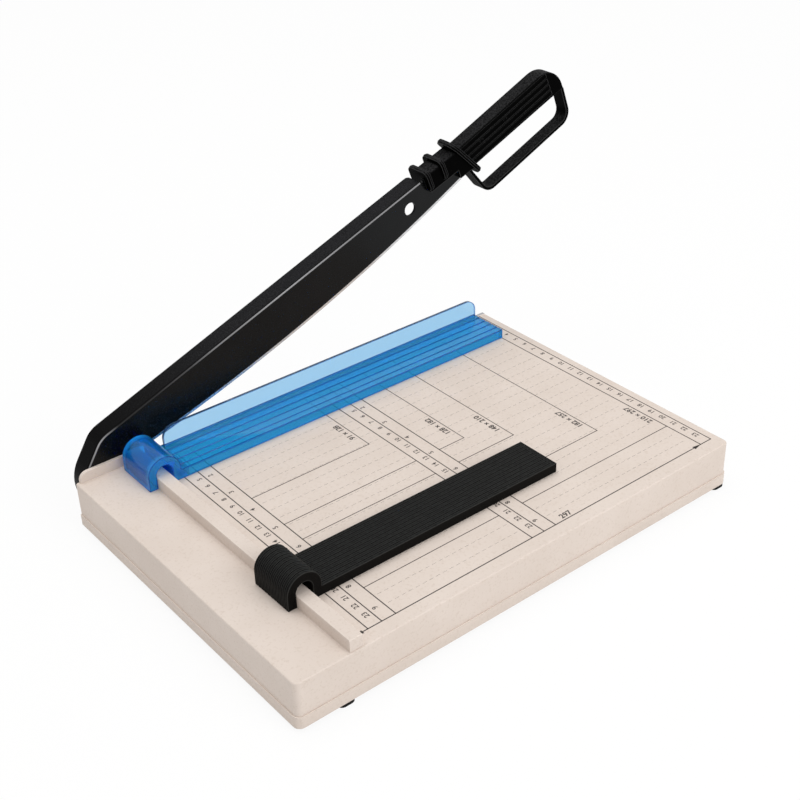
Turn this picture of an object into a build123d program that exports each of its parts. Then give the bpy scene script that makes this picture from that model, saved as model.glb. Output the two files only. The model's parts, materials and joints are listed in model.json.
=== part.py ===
from build123d import *

import os
from math import cos, radians, sin, sqrt, tan

os.makedirs("parts", exist_ok=True)

# Guillotine paper cutter for A4 sheets: a hollow plastic base with a fence, a fixed blade along its rear
# edge, and a raised blade arm that shears past it. A press guard and a sliding stop hook over the fence.
# Millimetres. +X runs along the cut towards the handle, +Y towards the blade, +Z up.
# The origin is on the table, in the middle of the whole machine's footprint with the arm at rest.

# Whole machine at rest, from the rim's left side to the knuckle strap and from its front to the collars
machine_width = 449.3
machine_depth = 268.5

# Base casing and bottom cover
base_width = 361.0
base_depth = 251.0
deck_height = 36.0
foot_height = 3.0
rim_height = 8.4
rim_proud = 0.8
casing_wall = 2.6
rear_wall = 6.0
deck_thickness = 3.0
cover_thickness = 2.4
front_corner_radius = 4.0
deck_edge_radius = 1.0
lip_height = 3.0
lip_thickness = 1.6
lip_clearance = 0.2
rib_thickness = 1.8
rib_depth = 9.0
rib_columns = 6
rib_rows = 3
rib_rear_margin = 24.0
overrun = 1.0

# Raised wall beside the pivot
pivot_wall_height = 7.5
pivot_wall_thickness = 2.4
pivot_wall_inset = 2.4
pivot_wall_radius = 6.0

# Cover screws and their bosses
boss_size = 9.0
boss_inset = 22.0
cover_screw_diameter = 3.5
cover_screw_length = 14.0
cover_screw_head = 7.0
cover_screw_head_height = 1.4
screw_clearance = 0.1

# Rubber feet
foot_size = 12.0
foot_corner_radius = 4.0
foot_from_left = 34.7
foot_from_right = 5.4
foot_from_front = 5.8
foot_from_rear = 8.0

# Fence
fence_from_left = 38.6
fence_width = 9.5
fence_height = 8.6
fence_front_inset = 1.2
fence_edge_radius = 0.6
fence_screw_diameter = 3.5
fence_screw_bite = 5.5
fence_screw_head = 7.0
fence_screw_head_height = 1.8

# Fixed blade and its screws
fixed_blade_thickness = 2.5
fixed_blade_height = 18.0
fixed_blade_edge_relief = 0.4
blade_screw_count = 3
blade_screw_diameter = 4.0
blade_screw_head = 7.6
blade_screw_drop = 10.0
blade_countersink_angle = 90.0
blade_screw_end_margin = 22.0
blade_nut_flats = 7.0
blade_nut_height = 3.2
blade_nut_boss_gap = 0.8

# Arm pivot
pivot_from_left = 30.2
pivot_drop = 12.0
running_gap = 0.1
bore_clearance = 0.05
pivot_bolt_diameter = 6.0
pivot_head_flats = 10.0
pivot_head_height = 4.0
pivot_plate_width = 44.0
pivot_plate_height = 17.0
pivot_plate_thickness = 2.0
pivot_plate_radius = 1.0
pivot_bush_diameter = 9.0
pivot_bush_flange = 14.0
pivot_bush_flange_height = 1.0
thrust_washer_diameter = 14.0
thrust_washer_thickness = 1.2
spring_washer_thickness = 0.9
spring_washer_height = 1.7
pivot_nut_height = 6.0
pivot_nut_collar = 1.6
pivot_bolt_end = 1.2
pivot_bolt_bevel = 0.8

# Blade arm, in its own plane: along the arm from the pivot, and square to it
arm_rest_angle = 20.43
arm_thickness = 2.2
arm_height = 37.8
edge_heel = 15.0
edge_heel_height = 10.8
edge_toe_from_flange = 34.3
edge_toe_height = 16.0
edge_bow = 9.8
edge_bevel = 1.5
nose_top = 5.4
nose_slope_run = 17.7
nose_slope_drop = 13.1
nose_reach = 24.0
nose_end_height = 4.7
nose_top_radius = 18.0
nose_blend_radius = 9.0
lobe_radius = 15.5
lobe_angle = 60.0
flange_end = 301.7
flange_width = 15.2
flange_corner_radius = 3.0
fold_radius = 1.8
fold_relief_width = 2.0
fold_relief_depth = 3.0
hole_diameter = 10.0
hole_from_flange = 15.7
hole_height = 24.3
tang_from_flange = 36.3
tang_length = 62.0
tang_width = 12.0

# Handle: a neck that straddles the arm's upper edge, a fluted grip and a knuckle strap
grip_tilt = 3.53
grip_from_flange = 44.9
grip_centre_height = 32.6
grip_length = 101.0
grip_rise = 9.6
grip_start_drop = 13.2
grip_end_drop = 14.7
grip_thickness = 12.0
grip_front = 2.1
grip_top_radius = 20.0
grip_edge_radius = 0.8
flute_count = 4
flute_radius = 4.0
flute_sink = 0.6
flute_pitch = 5.3
flute_drop = 2.3
flute_end_margin = 12.0
neck_from_flange = 3.7
neck_low = 27.1
neck_high = 42.0
neck_step_from_flange = 31.9
neck_step_low = 19.9
neck_front = 4.0
neck_back = 12.0
neck_edge_radius = 2.0
collar_thickness = 3.6
collar_front = 6.4
collar_back = 16.6
collar_low = 27.7
collar_high = 45.4
collar_radius = 5.0
collar_taper = 18.0
collars_from_flange = (5.2, 19.7)
end_collar_back = 2.8
end_collar_drop = 2.0
end_collar_height = 42.0
end_collar_radius = 9.0
end_collar_lean = 22.0
strap_thickness = 2.6
strap_width = 11.0
strap_front = 2.1
strap_overlap = 0.3
strap_depth = 41.2
strap_heel_back = 3.2
strap_heel_ahead = 4.5
strap_toe_back = 3.3
strap_radius = 9.5
tang_clearance = 0.15
handle_screw_diameter = 3.5
handle_screw_head = 6.6
handle_screw_head_height = 2.2
handle_screw_places = (16.0, 42.0)
handle_screw_bite = 1.2

# Hooks over the fence, shared by the guard and the stop
hook_radius = 12.2
arch_height = 10.0
hook_slack = 2.5
hook_fit = 0.3
deck_gap = 0.3

# Press guard and its finger shield
guard_from_cut = 7.4
guard_width = 34.4
guard_end_from_fence = 296.2
guard_height = 7.5
guard_wall = 2.0
guard_groove_count = 4
guard_groove_pitch = 6.8
guard_groove_depth = 0.6
shield_thickness = 2.0
shield_inset = 0.8
shield_height = 21.8
shield_seat = 4.0
shield_fit = 0.05
shield_start_from_fence = 14.4
shield_radius = 9.0

# Sliding stop
stop_from_cut = 165.0
stop_width = 34.3
stop_end_from_fence = 199.7
stop_height = 7.0
stop_end_border = 3.0
stop_rib_count = 11
stop_rib_share = 0.78
stop_rib_relief = 0.6

# Places worked out from the sizes above
left_x = rim_proud - machine_width / 2
right_x = left_x + base_width
front_y = rim_proud - machine_depth / 2
cut_y = front_y + base_depth
base_x = (left_x + right_x) / 2
base_y = (front_y + cut_y) / 2
seam_height = foot_height + rim_height
cover_top = foot_height + cover_thickness
deck_under = deck_height - deck_thickness
inner_rear_y = cut_y - rear_wall
inner_depth = base_depth - casing_wall - rear_wall
inner_width = base_width - 2 * casing_wall
inner_y = (front_y + casing_wall + inner_rear_y) / 2
fence_left = left_x + fence_from_left
fence_x = fence_left + fence_width / 2
fence_face = fence_left + fence_width
fence_front = front_y + fence_front_inset
fence_rear = cut_y - fixed_blade_thickness
fence_length = fence_rear - fence_front
pivot_x = left_x + pivot_from_left
pivot_z = deck_height - pivot_drop
arm_y = cut_y + running_gap
guard_rear = cut_y - guard_from_cut
stop_rear = cut_y - stop_from_cut
fixed_blade_left = fence_left
fixed_blade_length = right_x - fixed_blade_left
edge_toe = flange_end + edge_toe_from_flange
tang_start = flange_end + tang_from_flange
grip_start = flange_end + grip_from_flange
hole_place = flange_end - hole_from_flange

arm_angle = radians(arm_rest_angle)
arm_plane = Plane(
    origin=(pivot_x, arm_y, pivot_z), x_dir=(cos(arm_angle), 0, sin(arm_angle)), z_dir=(0, -1, 0)
)
grip_angle = radians(arm_rest_angle + grip_tilt)
grip_plane = Plane(
    origin=arm_plane.from_local_coords((grip_start, grip_centre_height, 0)),
    x_dir=(cos(grip_angle), 0, sin(grip_angle)),
    z_dir=(0, -1, 0),
)
pivot_plane = Plane(origin=(pivot_x, arm_y, pivot_z), x_dir=(1, 0, 0), z_dir=(0, 1, 0))

boss_places = [
    (x, y)
    for x in (left_x + boss_inset, right_x - boss_inset)
    for y in (front_y + boss_inset, inner_rear_y - boss_inset)
]
foot_places = [
    (x, y)
    for x in (left_x + foot_from_left, right_x - foot_from_right)
    for y in (front_y + foot_from_front, cut_y - foot_from_rear)
]
blade_screw_pitch = (fixed_blade_length - 2 * blade_screw_end_margin) / (blade_screw_count - 1)
blade_screw_first = fixed_blade_left + blade_screw_end_margin
blade_screw_places = [blade_screw_first + index * blade_screw_pitch for index in range(blade_screw_count)]
rib_row_pitch = (inner_depth - rib_rear_margin) / rib_rows
rib_middle_y = (front_y + inner_rear_y - rib_rear_margin) / 2
fence_screw_places = [(fence_x, rib_middle_y + side * rib_row_pitch / 2) for side in (-1, 1)]


def base_outline(side_growth, front_growth):
    """The base's footprint, grown at its sides and front, with the rear edge kept on the cutting plane."""
    with Locations((base_x, base_y - front_growth / 2)):
        outline = Rectangle(base_width + 2 * side_growth, base_depth + front_growth)
    front_corners = outline.vertices().sort_by(Axis.Y)[:2]
    fillet(front_corners, front_corner_radius + side_growth)


def cavity_outline(inset):
    """The plan of the casing's inside, drawn in by an inset all round."""
    with Locations((base_x, inner_y)):
        RectangleRounded(inner_width - 2 * inset, inner_depth - 2 * inset, front_corner_radius)


# Base casing: an open box upside down, with a ribbed deck, screw bosses and the wall beside the pivot
with BuildPart() as base_casing:
    with BuildSketch(Plane.XY.offset(seam_height)):
        base_outline(0, 0)
    extrude(amount=deck_height - seam_height)
    deck_edges = base_casing.faces().sort_by(Axis.Z)[-1].edges()
    fillet(deck_edges.filter_by(lambda edge: edge.center().Y < cut_y - overrun), deck_edge_radius)
    with BuildSketch(Plane.XY.offset(seam_height)):
        cavity_outline(0)
    extrude(amount=deck_under - seam_height, mode=Mode.SUBTRACT)
    with BuildSketch(Plane.XY.offset(deck_under - rib_depth)):
        with Locations((base_x, rib_middle_y)):
            with GridLocations(inner_width / rib_columns, 0, rib_columns, 1):
                Rectangle(rib_thickness, inner_rear_y - rib_rear_margin - front_y - 2 * casing_wall)
            with GridLocations(0, rib_row_pitch, 1, rib_rows):
                Rectangle(inner_width + casing_wall, rib_thickness)
    extrude(amount=rib_depth)
    with BuildSketch(Plane.XY.offset(cover_top)):
        with Locations(*boss_places):
            Rectangle(boss_size, boss_size)
    extrude(amount=deck_under - cover_top)
    with BuildSketch(Plane.XZ.offset(-cut_y)):
        with Locations((left_x + pivot_wall_inset, deck_under)):
            wall_face = Rectangle(
                fence_left - left_x - pivot_wall_inset,
                deck_thickness + pivot_wall_height,
                align=(Align.MIN, Align.MIN),
            )
        fillet(wall_face.vertices().group_by(Axis.Y)[-1].sort_by(Axis.X)[0], pivot_wall_radius)
    extrude(amount=pivot_wall_thickness)
    with BuildSketch(Plane.XZ.offset(-cut_y)):
        with Locations((fixed_blade_left, deck_height)):
            Rectangle(fixed_blade_length, fixed_blade_height, align=(Align.MIN, Align.MAX))
    extrude(amount=fixed_blade_thickness, mode=Mode.SUBTRACT)
    with BuildSketch(Plane.XY.offset(cover_top)):
        with Locations(*boss_places):
            Circle(cover_screw_diameter / 2)
    extrude(amount=cover_screw_length + overrun, mode=Mode.SUBTRACT)
    with BuildSketch(Plane.XY.offset(deck_under)):
        with Locations(*fence_screw_places):
            Circle(fence_screw_diameter / 2 + screw_clearance)
    extrude(amount=deck_thickness, mode=Mode.SUBTRACT)
    with BuildSketch(Plane.XZ.offset(-cut_y)):
        with Locations(*[(x, deck_height - blade_screw_drop) for x in blade_screw_places]):
            Circle(blade_screw_diameter / 2 + screw_clearance)
        with Locations((pivot_x, pivot_z)):
            Circle(pivot_bolt_diameter / 2 + screw_clearance)
    extrude(amount=rear_wall, mode=Mode.SUBTRACT)
base_casing.part.label = "base_casing"
export_step(base_casing.part, "parts/base_casing.step")

# Bottom cover: a tray whose proud rim shows below the seam, with a lip that locates it in the casing
with BuildPart() as bottom_cover:
    with BuildSketch(Plane.XY.offset(foot_height)):
        base_outline(rim_proud, rim_proud)
    extrude(amount=rim_height)
    with BuildSketch(Plane.XY.offset(seam_height)):
        cavity_outline(lip_clearance)
    extrude(amount=lip_height)
    with BuildSketch(Plane.XY.offset(cover_top)):
        cavity_outline(lip_clearance + lip_thickness)
    extrude(amount=rim_height + lip_height, mode=Mode.SUBTRACT)
    with BuildSketch(Plane.XY.offset(foot_height)):
        with Locations(*boss_places):
            Circle(cover_screw_diameter / 2 + screw_clearance)
    extrude(amount=cover_thickness, mode=Mode.SUBTRACT)
bottom_cover.part.label = "bottom_cover"
export_step(bottom_cover.part, "parts/bottom_cover.step")

# Cover screws: flat heads under the cover, shanks up into the casing's bosses
with BuildPart() as cover_screws:
    with BuildSketch(Plane.XY.offset(foot_height - cover_screw_head_height)):
        with Locations(*boss_places):
            Circle(cover_screw_head / 2)
    extrude(amount=cover_screw_head_height)
    with BuildSketch(Plane.XY.offset(foot_height)):
        with Locations(*boss_places):
            Circle(cover_screw_diameter / 2)
    extrude(amount=cover_thickness + cover_screw_length)
cover_screws.part.label = "cover_screws"
export_step(cover_screws.part, "parts/cover_screws.step")

# Rubber feet: pads stuck under the cover near its corners
with BuildPart() as rubber_feet:
    with BuildSketch():
        with Locations(*foot_places):
            RectangleRounded(foot_size, foot_size, foot_corner_radius)
    extrude(amount=foot_height)
rubber_feet.part.label = "rubber_feet"
export_step(rubber_feet.part, "parts/rubber_feet.step")

# Fence: the square rail that the sheet's edge is laid against
with BuildPart() as fence_rail:
    with BuildSketch(Plane.XY.offset(deck_height)):
        with Locations((fence_x, (fence_front + fence_rear) / 2)):
            Rectangle(fence_width, fence_length)
    extrude(amount=fence_height)
    fillet(fence_rail.faces().sort_by(Axis.Z)[-1].edges(), fence_edge_radius)
    with BuildSketch(Plane.XY.offset(deck_height)):
        with Locations(*fence_screw_places):
            Circle(fence_screw_diameter / 2)
    extrude(amount=fence_screw_bite, mode=Mode.SUBTRACT)
fence_rail.part.label = "fence_rail"
export_step(fence_rail.part, "parts/fence_rail.step")

# Fence screws: up from inside the base
with BuildPart() as fence_screws:
    with BuildSketch(Plane.XY.offset(deck_under - fence_screw_head_height)):
        with Locations(*fence_screw_places):
            Circle(fence_screw_head / 2)
    extrude(amount=fence_screw_head_height)
    with BuildSketch(Plane.XY.offset(deck_under)):
        with Locations(*fence_screw_places):
            Circle(fence_screw_diameter / 2)
    extrude(amount=deck_thickness + fence_screw_bite)
fence_screws.part.label = "fence_screws"
export_step(fence_screws.part, "parts/fence_screws.step")

# Fixed blade: a ground steel strip let into the rear wall, flush with the deck and the cutting plane
with BuildPart() as fixed_blade:
    with BuildSketch(Plane.XZ.offset(-cut_y)):
        with Locations((fixed_blade_left, deck_height)):
            Rectangle(fixed_blade_length, fixed_blade_height, align=(Align.MIN, Align.MAX))
    extrude(amount=fixed_blade_thickness)
    rear_foot = fixed_blade.edges().filter_by(Axis.X).group_by(Axis.Z)[0].sort_by(Axis.Y)[-1]
    chamfer(rear_foot, fixed_blade_edge_relief)
    with Locations(Plane(origin=(0, cut_y, 0), x_dir=(1, 0, 0), z_dir=(0, 1, 0))):
        with Locations(*[(x, blade_screw_drop - deck_height) for x in blade_screw_places]):
            CounterSinkHole(
                blade_screw_diameter / 2 + screw_clearance,
                blade_screw_head / 2 + screw_clearance,
                fixed_blade_thickness,
                blade_countersink_angle,
            )
fixed_blade.part.label = "fixed_blade"
export_step(fixed_blade.part, "parts/fixed_blade.step")

# Fixed blade screws: flat countersunk heads, flush with the blade's rear face
blade_screw_cone = (blade_screw_head - blade_screw_diameter) / 2
blade_screw_reach = rear_wall + blade_nut_height + blade_nut_boss_gap
with BuildPart() as fixed_blade_screws:
    for screw_x in blade_screw_places:
        screw_plane = Plane(origin=(screw_x, cut_y, deck_height - blade_screw_drop))
        with BuildSketch(screw_plane):
            with BuildLine():
                Polyline(
                    (0, 0),
                    (blade_screw_head / 2, 0),
                    (blade_screw_diameter / 2, -blade_screw_cone),
                    (blade_screw_diameter / 2, -blade_screw_reach),
                    (0, -blade_screw_reach),
                    close=True,
                )
            make_face()
        revolve(axis=Axis(screw_plane.origin, (0, 1, 0)))
fixed_blade_screws.part.label = "fixed_blade_screws"
export_step(fixed_blade_screws.part, "parts/fixed_blade_screws.step")

# Fixed blade nuts: hexagons drawn up against the inside of the rear wall
with BuildPart() as fixed_blade_nuts:
    with BuildSketch(Plane.XZ.offset(-inner_rear_y)):
        with Locations(*[(x, deck_height - blade_screw_drop) for x in blade_screw_places]):
            RegularPolygon(blade_nut_flats / 2, 6, major_radius=False)
            Circle(blade_screw_diameter / 2 + bore_clearance, mode=Mode.SUBTRACT)
    extrude(amount=blade_nut_height)
fixed_blade_nuts.part.label = "fixed_blade_nuts"
export_step(fixed_blade_nuts.part, "parts/fixed_blade_nuts.step")

# Pivot plate: spreads the pivot bolt's pull over the inside of the rear wall
with BuildPart() as pivot_plate:
    with BuildSketch(Plane.XZ.offset(-inner_rear_y)):
        with Locations((pivot_x, pivot_z)):
            RectangleRounded(pivot_plate_width, pivot_plate_height, pivot_plate_radius)
            Circle(pivot_bolt_diameter / 2 + screw_clearance, mode=Mode.SUBTRACT)
    extrude(amount=pivot_plate_thickness)
pivot_plate.part.label = "pivot_plate"
export_step(pivot_plate.part, "parts/pivot_plate.step")

# Stack of the pivot, counted outwards from the arm's front face
bush_face = arm_thickness + pivot_bush_flange_height
thrust_start = bush_face + running_gap
spring_start = thrust_start + thrust_washer_thickness
nut_washer_start = spring_start + spring_washer_height
nut_start = nut_washer_start + thrust_washer_thickness
bolt_reach = nut_start + pivot_nut_height + pivot_bolt_end
head_start = rear_wall + pivot_plate_thickness + running_gap

# Pivot bolt: hexagon head inside the base, shank out through the wall and the arm
with BuildPart() as pivot_bolt:
    with BuildSketch(pivot_plane.offset(-head_start - pivot_head_height)):
        RegularPolygon(pivot_head_flats / 2, 6, major_radius=False)
    extrude(amount=pivot_head_height)
    with BuildSketch(pivot_plane.offset(-head_start)):
        Circle(pivot_bolt_diameter / 2)
    extrude(amount=head_start + bolt_reach)
    chamfer(pivot_bolt.faces().sort_by(Axis.Y)[-1].edges(), pivot_bolt_bevel)
pivot_bolt.part.label = "pivot_bolt"
export_step(pivot_bolt.part, "parts/pivot_bolt.step")

# Pivot bush: pressed into the arm, it turns on the bolt and takes the thrust on its flange
with BuildPart() as pivot_bush:
    with BuildSketch(pivot_plane):
        Circle(pivot_bush_diameter / 2)
    extrude(amount=arm_thickness)
    with BuildSketch(pivot_plane.offset(arm_thickness)):
        Circle(pivot_bush_flange / 2)
    extrude(amount=pivot_bush_flange_height)
    with BuildSketch(pivot_plane):
        Circle(pivot_bolt_diameter / 2 + bore_clearance)
    extrude(amount=bush_face, mode=Mode.SUBTRACT)
pivot_bush.part.label = "pivot_bush"
export_step(pivot_bush.part, "parts/pivot_bush.step")

# Thrust washers: one against the bush, one under the nut, with the spring washer between them
with BuildPart() as thrust_washers:
    for start in (thrust_start, nut_washer_start):
        with BuildSketch(pivot_plane.offset(start)):
            Circle(thrust_washer_diameter / 2)
            Circle(pivot_bolt_diameter / 2 + bore_clearance, mode=Mode.SUBTRACT)
        extrude(amount=thrust_washer_thickness)
thrust_washers.part.label = "thrust_washers"
export_step(thrust_washers.part, "parts/thrust_washers.step")

# Spring washer: a dished ring that keeps the arm pressed to the fixed blade and holds it where it is put
spring_inner = pivot_bolt_diameter / 2 + bore_clearance
spring_outer = thrust_washer_diameter / 2
with BuildPart() as spring_washer:
    with BuildSketch(Plane(origin=pivot_plane.origin, x_dir=(1, 0, 0), z_dir=(0, 0, 1))):
        with BuildLine():
            Polyline(
                (spring_inner, spring_start + spring_washer_height - spring_washer_thickness),
                (spring_outer, spring_start),
                (spring_outer, spring_start + spring_washer_thickness),
                (spring_inner, spring_start + spring_washer_height),
                close=True,
            )
        make_face()
    revolve(axis=Axis(pivot_plane.origin, (0, 1, 0)))
spring_washer.part.label = "spring_washer"
export_step(spring_washer.part, "parts/spring_washer.step")

# Pivot nut: a self-locking nut with its round collar outwards
with BuildPart() as pivot_nut:
    with BuildSketch(pivot_plane.offset(nut_start)):
        RegularPolygon(pivot_head_flats / 2, 6, major_radius=False)
    extrude(amount=pivot_nut_height - pivot_nut_collar)
    with BuildSketch(pivot_plane.offset(nut_start + pivot_nut_height - pivot_nut_collar)):
        Circle(pivot_head_flats / 2)
    extrude(amount=pivot_nut_collar)
    with BuildSketch(pivot_plane.offset(nut_start)):
        Circle(pivot_bolt_diameter / 2 + bore_clearance)
    extrude(amount=pivot_nut_height, mode=Mode.SUBTRACT)
pivot_nut.part.label = "pivot_nut"
export_step(pivot_nut.part, "parts/pivot_nut.step")

# Blade arm: one steel stamping, a web with a bowed cutting edge and a flange folded back along its top
edge_start = (edge_heel, edge_heel_height)
edge_end = (edge_toe, edge_toe_height)
edge_middle = ((edge_heel + edge_toe) / 2, (edge_heel_height + edge_toe_height) / 2 - edge_bow)
nose_start = (nose_top, arm_height)
nose_slope_end = (nose_top - nose_slope_run, arm_height - nose_slope_drop)
nose_finish = (-nose_reach, nose_end_height)
lobe_low = (-lobe_radius * cos(radians(lobe_angle)), -lobe_radius * sin(radians(lobe_angle)))
tang_rise = tan(radians(grip_tilt))
tang_end = tang_start + tang_length
tang_low = grip_centre_height - tang_width / 2 + (tang_start - grip_start) * tang_rise
tang_end_low = tang_low + tang_length * tang_rise


def web_outline():
    """The arm's side view: bowed edge, tang, straight back, rounded nose and the lobe round the pivot."""
    with BuildLine() as side_view:
        ThreePointArc(edge_start, edge_middle, edge_end)
        Polyline(
            edge_end,
            (tang_start, tang_low),
            (tang_end, tang_end_low),
            (tang_end, tang_end_low + tang_width),
            (tang_start, arm_height),
            nose_start,
            nose_slope_end,
        )
        TangentArc(nose_slope_end, nose_finish, tangent=(-nose_slope_run, -nose_slope_drop))
        ThreePointArc(nose_finish, lobe_low, (edge_heel, 0))
        Line((edge_heel, 0), edge_start)
    make_face(side_view.edges())
    fillet(vertices().sort_by_distance(nose_start)[0], nose_top_radius)
    fillet(vertices().sort_by_distance(nose_finish)[0], nose_blend_radius)


with BuildPart() as blade_arm:
    with BuildSketch(arm_plane):
        web_outline()
    extrude(amount=-arm_thickness)
    with BuildSketch(arm_plane):
        with Locations((flange_end, arm_height)):
            Rectangle(fold_relief_width, 2 * fold_relief_depth, align=(Align.MIN, Align.CENTER))
    extrude(amount=-arm_thickness, mode=Mode.SUBTRACT)
    fold_edges = blade_arm.edges().filter_by(
        lambda edge: abs(edge.center().Y - arm_y) < running_gap
        and arm_plane.to_local_coords(edge).center().Y > edge_toe_height
        and arm_plane.to_local_coords(edge).center().X < flange_end - fold_relief_width
    )
    fillet(fold_edges, fold_radius)
    with BuildSketch(arm_plane.offset(-arm_thickness)):
        web_outline()
        offset(amount=-arm_thickness, kind=Kind.INTERSECTION, mode=Mode.SUBTRACT)
        with BuildLine():
            Polyline(
                (-nose_reach - overrun, nose_end_height),
                (-nose_top, nose_end_height),
                (-nose_top, arm_height / 2),
                (nose_reach, hole_height),
                (flange_end, hole_height),
                (flange_end, arm_height + overrun),
                (-nose_reach - overrun, arm_height + overrun),
                close=True,
            )
        make_face(mode=Mode.INTERSECT)
    extrude(amount=arm_thickness - flange_width)
    flange_corner = blade_arm.edges().filter_by(
        lambda edge: abs(arm_plane.to_local_coords(edge).center().X - flange_end) < running_gap
        and abs(arm_plane.to_local_coords(edge).center().Z + flange_width) < running_gap
    )
    fillet(flange_corner.filter_by(Axis((0, 0, 0), arm_plane.y_dir)), flange_corner_radius)
    bevel_edge = blade_arm.edges().filter_by(
        lambda edge: abs(edge.center().Y - arm_y - arm_thickness) < running_gap
        and edge.length > (edge_toe - edge_heel) - overrun
        and arm_plane.to_local_coords(edge).center().Y < edge_toe_height
    )
    chamfer(bevel_edge, edge_bevel)
    with BuildSketch(arm_plane):
        with Locations((hole_place, hole_height)):
            Circle(hole_diameter / 2)
        Circle(pivot_bush_diameter / 2)
    extrude(amount=-arm_thickness, mode=Mode.SUBTRACT)
    with BuildSketch(grip_plane):
        with Locations(*[(place, 0) for place in handle_screw_places]):
            Circle(handle_screw_diameter / 2 + screw_clearance)
    extrude(amount=-arm_thickness, mode=Mode.SUBTRACT)
blade_arm.part.label = "blade_arm"
export_step(blade_arm.part, "parts/blade_arm.step")

# Handle: one moulding of neck, collars, fluted grip and knuckle strap
strap_start_place = (-strap_heel_back, -grip_start_drop)
strap_heel = (strap_heel_ahead, -strap_depth)
strap_toe = (grip_length - strap_toe_back, -strap_depth)
strap_end_place = (grip_length - strap_thickness / 2, strap_overlap - grip_end_drop)
collar_depth = collar_front + collar_back
grip_back = grip_thickness - grip_front
lean_angle = radians(arm_rest_angle + grip_tilt + end_collar_lean)
end_collar_origin = grip_plane.from_local_coords((-end_collar_back, -end_collar_drop, 0))
end_collar_middle = arm_plane.to_local_coords(end_collar_origin)
neck_start = flange_end + neck_from_flange
neck_step = flange_end + neck_step_from_flange


def neck_finish(height):
    """Where the neck meets the middle of the leaning end collar, at a height over the pivot."""
    lean = tan(radians(grip_tilt + end_collar_lean))
    return (end_collar_middle.X - (height - end_collar_middle.Y) * lean, height)


def grip_begin(height):
    """Where the grip meets the middle of the leaning end collar, at a height over the grip's own axis."""
    lean = tan(radians(end_collar_lean))
    return (-end_collar_back - (height + end_collar_drop) * lean, height)


with BuildPart() as handle:
    with BuildSketch(grip_plane.offset(grip_front)):
        with BuildLine():
            Polyline(
                grip_begin(-grip_start_drop),
                (grip_length, -grip_end_drop),
                (grip_length, grip_rise),
                grip_begin(grip_rise),
                close=True,
            )
        make_face()
        fillet(vertices().sort_by_distance((grip_length, grip_rise))[0], grip_top_radius)
    extrude(amount=-grip_thickness)
    fillet(handle.faces().filter_by(Plane.XZ).edges(), grip_edge_radius)
    flute_axis_height = grip_front + flute_radius - flute_sink
    flute_start = grip_plane.from_local_coords((-grip_rise, -flute_drop, flute_axis_height))
    with BuildSketch(Plane(origin=flute_start, x_dir=grip_plane.y_dir, z_dir=grip_plane.x_dir)):
        with GridLocations(flute_pitch, 0, flute_count, 1):
            Circle(flute_radius)
    extrude(amount=grip_rise + grip_length - flute_end_margin, mode=Mode.SUBTRACT)
    with BuildSketch(arm_plane.offset(neck_front)):
        with BuildLine():
            Polyline(
                (neck_start, neck_high),
                (neck_start, neck_low),
                (neck_step, neck_low),
                (neck_step, neck_step_low),
                neck_finish(neck_step_low),
                neck_finish(neck_high),
                close=True,
            )
        make_face()
    extrude(amount=-neck_front - neck_back)
    neck_top = handle.edges().filter_by(Axis((0, 0, 0), arm_plane.x_dir)).filter_by(
        lambda edge: abs(arm_plane.to_local_coords(edge).center().Y - neck_high) < running_gap
    )
    fillet(neck_top, neck_edge_radius)
    for place in collars_from_flange:
        collar_place = (flange_end + place, (collar_low + collar_high) / 2, 0)
        collar_origin = arm_plane.from_local_coords(collar_place)
        with BuildSketch(Plane(origin=collar_origin, x_dir=(0, 1, 0), z_dir=arm_plane.x_dir)):
            with Locations(((collar_back - collar_front) / 2, 0)):
                RectangleRounded(collar_depth, collar_high - collar_low, collar_radius)
        extrude(amount=collar_thickness / 2, both=True, taper=collar_taper)
    end_collar_normal = (cos(lean_angle), 0, sin(lean_angle))
    with BuildSketch(Plane(origin=end_collar_origin, x_dir=(0, 1, 0), z_dir=end_collar_normal)):
        with Locations(((collar_back - collar_front) / 2, 0)):
            RectangleRounded(collar_depth, end_collar_height, end_collar_radius)
    extrude(amount=collar_thickness / 2, both=True, taper=collar_taper)
    with BuildLine(grip_plane.offset(strap_front - strap_width / 2)) as strap_path:
        FilletPolyline(strap_start_place, strap_heel, strap_toe, strap_end_place, radius=strap_radius)
    with BuildSketch(Plane(origin=strap_path.line @ 0, x_dir=(0, 1, 0), z_dir=strap_path.line % 0)):
        Rectangle(strap_width, strap_thickness)
    sweep(path=strap_path.line)
    with BuildSketch(arm_plane.offset(tang_clearance)):
        web_outline()
        offset(amount=tang_clearance, kind=Kind.INTERSECTION)
    extrude(amount=-arm_thickness - 2 * tang_clearance, mode=Mode.SUBTRACT)
    with BuildSketch(grip_plane):
        with Locations(*[(place, 0) for place in handle_screw_places]):
            Circle(handle_screw_diameter / 2 + screw_clearance)
    extrude(amount=-grip_back, mode=Mode.SUBTRACT)
    with BuildSketch(grip_plane.offset(-grip_back)):
        with Locations(*[(place, 0) for place in handle_screw_places]):
            Circle(handle_screw_head / 2 + screw_clearance)
    extrude(amount=handle_screw_head_height, mode=Mode.SUBTRACT)
    with BuildSketch(grip_plane):
        with Locations(*[(place, 0) for place in handle_screw_places]):
            Circle(handle_screw_diameter / 2)
    extrude(amount=handle_screw_bite, mode=Mode.SUBTRACT)
handle.part.label = "handle"
export_step(handle.part, "parts/handle.step")

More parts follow.
